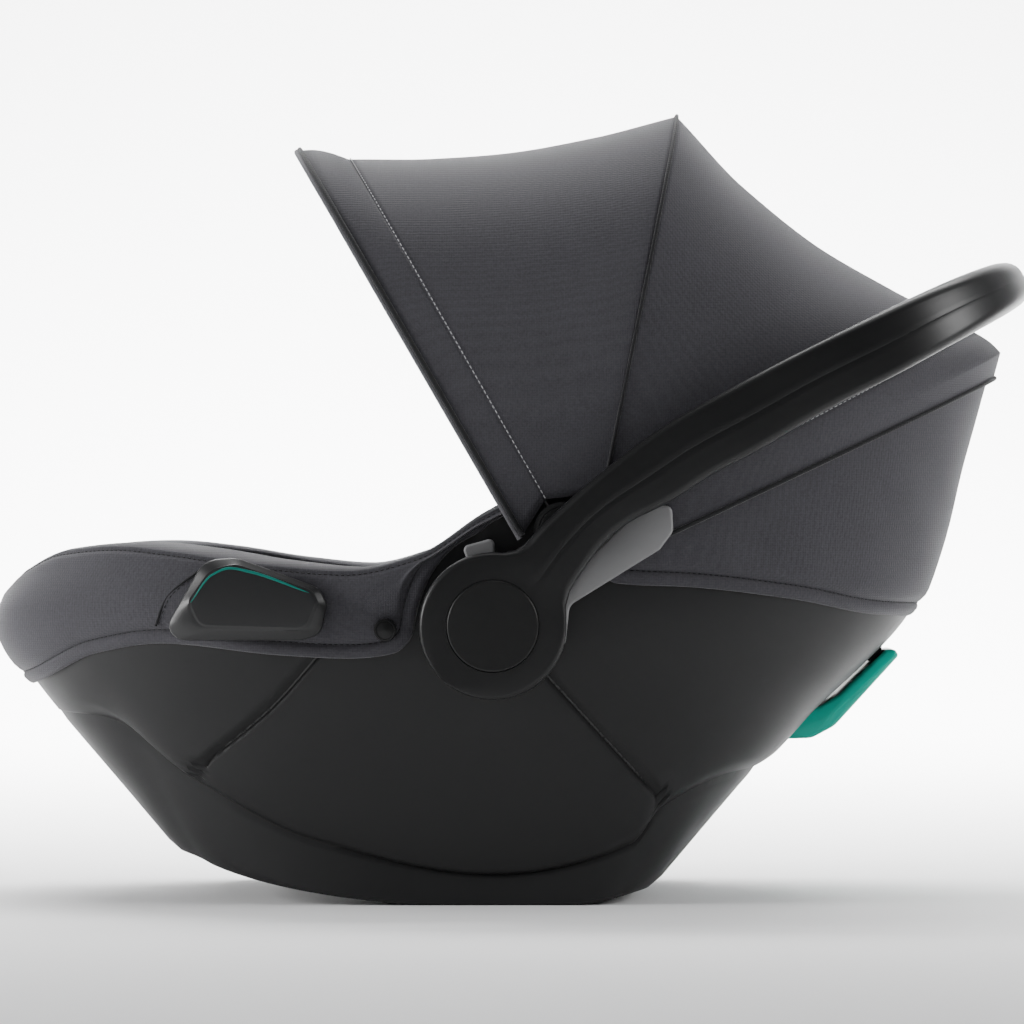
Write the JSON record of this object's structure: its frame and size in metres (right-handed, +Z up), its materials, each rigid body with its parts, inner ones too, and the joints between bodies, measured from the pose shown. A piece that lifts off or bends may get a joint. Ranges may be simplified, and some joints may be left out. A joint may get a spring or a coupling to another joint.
{
  "type": "infant car seat",
  "caption": "Rear-facing bucket car seat for a baby with a swinging carrying handle, a folding sun canopy, a harness and docking bars below.",
  "frame": {"origin": "on the floor under the middle of the object's box", "axes": "+Z up, +X to the head end, -Y to the side seen in the picture"},
  "size_m": [0.6746, 0.442, 0.5087],
  "materials": {
    "shell_plastic": "fine moulded grain, satin",
    "handle_plastic": "smooth satin",
    "cap_plastic": "smooth satin",
    "guide_plastic": "smooth satin",
    "inner_plastic": "fine grain",
    "grey_plastic": "soft satin",
    "green_plastic": "glossy",
    "accent_line": "satin",
    "red_plastic": "glossy",
    "bow_plastic": "smooth",
    "grey_fabric": "fine woven melange",
    "lining_fabric": "soft knitted",
    "webbing": "woven webbing",
    "foam": "expanded foam beads",
    "steel": "zinc plated",
    "gear_metal": "cast"
  },
  "bodies": {
    "seat": {"outer_shell": "shell_plastic", "foam_liner": "foam", "seat_lining": "lining_fabric", "seat_cover": "grey_fabric", "hub_base_left": "shell_plastic", "hub_base_right": "shell_plastic", "hub_bolt_left": "steel", "hub_bolt_right": "steel", "hub_spring_left": "steel", "hub_spring_right": "steel", "canopy_pivot_left": "shell_plastic", "canopy_pivot_right": "shell_plastic", "lap_belt_guide_left": "guide_plastic", "lap_belt_guide_right": "guide_plastic", "belt_guide_accent_left": "accent_line", "belt_guide_accent_right": "accent_line", "cover_stud_left": "cap_plastic", "cover_stud_right": "cap_plastic", "rear_belt_hook": "green_plastic", "belt_hook_catch": "shell_plastic", "front_docking_bar": "steel", "rear_docking_bar": "steel", "docking_bar_brackets": "inner_plastic", "bracket_screws": "steel", "newborn_insert": "lining_fabric", "shoulder_strap_left": "webbing", "shoulder_strap_right": "webbing", "shoulder_pad_left": "grey_fabric", "shoulder_pad_right": "grey_fabric", "buckle_housing": "inner_plastic", "buckle_tongues": "inner_plastic", "crotch_strap": "webbing", "crotch_pad": "grey_fabric", "adjuster_housing": "inner_plastic", "canopy_rear_panel": "grey_fabric", "canopy_rear_hem": "grey_fabric"},
    "handle": {"handle_upper_shell": "handle_plastic", "handle_lower_shell": "handle_plastic", "handle_hub_left": "handle_plastic", "handle_hub_right": "handle_plastic", "hub_cap_left": "cap_plastic", "hub_cap_right": "cap_plastic"},
    "handle_button_l": {"handle_button_left": "grey_plastic"},
    "handle_button_r": {"handle_button_right": "grey_plastic"},
    "lock_gear_l": {"lock_gear_left": "gear_metal"},
    "lock_gear_r": {"lock_gear_right": "gear_metal"},
    "release_lever_l": {"release_lever_left": "grey_plastic"},
    "release_lever_r": {"release_lever_right": "grey_plastic"},
    "canopy_mid": {"canopy_mid_bow": "bow_plastic", "canopy_front_panel": "grey_fabric"},
    "canopy_front": {"canopy_front_bow": "bow_plastic", "canopy_visor": "grey_fabric"},
    "headrest": {"headrest_board": "inner_plastic", "headrest_pad": "grey_fabric", "headrest_grip": "inner_plastic"},
    "harness_button": {"buckle_button": "red_plastic"},
    "adjuster_key": {"adjuster_button": "grey_plastic"}
  },
  "joints": [
    {"name": "handle_pivot", "type": "hinge", "parent": "seat", "child": "handle", "pos_m": [-0.012, 0, 0.179], "axis": [0, 1, 0], "range_deg": [-112, 18]},
    {"name": "canopy_mid_fold", "type": "hinge", "parent": "seat", "child": "canopy_mid", "pos_m": [0.032, 0, 0.238], "axis": [0, 1, 0], "range_deg": [0, 30], "deforming": ["canopy_rear_panel"]},
    {"name": "canopy_front_fold", "type": "hinge", "parent": "canopy_mid", "child": "canopy_front", "pos_m": [0.032, 0, 0.238], "axis": [0, 1, 0], "range_deg": [0, 30], "deforming": ["canopy_front_panel"]},
    {"name": "headrest_height", "type": "slide", "parent": "seat", "child": "headrest", "axis": [0.7071, 0, 0.7071], "range_m": [0, 0.03]},
    {"name": "buckle_press", "type": "slide", "parent": "seat", "child": "harness_button", "axis": [0.4695, 0, -0.8829], "range_m": [0, 0.0024], "stiffness_N_per_m": 800},
    {"name": "adjuster_press", "type": "slide", "parent": "seat", "child": "adjuster_key", "axis": [-0.5299, 0, -0.848], "range_m": [0, 0.0022], "stiffness_N_per_m": 800},
    {"name": "handle_button_press_left", "type": "slide", "parent": "seat", "child": "handle_button_l", "axis": [0.1736, 0, -0.9848], "range_m": [0, 0.0042], "stiffness_N_per_m": 700},
    {"name": "lock_gear_slide_left", "type": "slide", "parent": "seat", "child": "lock_gear_l", "axis": [0, 1, 0], "range_m": [0, 0.0036], "deforming": ["hub_spring_left"]},
    {"name": "release_lever_swing_left", "type": "hinge", "parent": "seat", "child": "release_lever_l", "pos_m": [0.0248, 0, 0.17513], "axis": [0, 1, 0], "range_deg": [-5, 0], "stiffness_Nm_per_rad": 3},
    {"name": "handle_button_press_right", "type": "slide", "parent": "seat", "child": "handle_button_r", "axis": [0.1736, 0, -0.9848], "range_m": [0, 0.0042], "stiffness_N_per_m": 700},
    {"name": "lock_gear_slide_right", "type": "slide", "parent": "seat", "child": "lock_gear_r", "axis": [0, -1, 0], "range_m": [0, 0.0036], "deforming": ["hub_spring_right"]},
    {"name": "release_lever_swing_right", "type": "hinge", "parent": "seat", "child": "release_lever_r", "pos_m": [0.0248, 0, 0.17513], "axis": [0, 1, 0], "range_deg": [-5, 0], "stiffness_Nm_per_rad": 3}
  ],
  "couplings": [
    {"joint": "canopy_front_fold", "follows": "canopy_mid_fold", "ratio": 1},
    {"joint": "lock_gear_slide_left", "follows": "handle_button_press_left", "ratio": 0.8},
    {"joint": "lock_gear_slide_right", "follows": "handle_button_press_right", "ratio": 0.8}
  ]
}
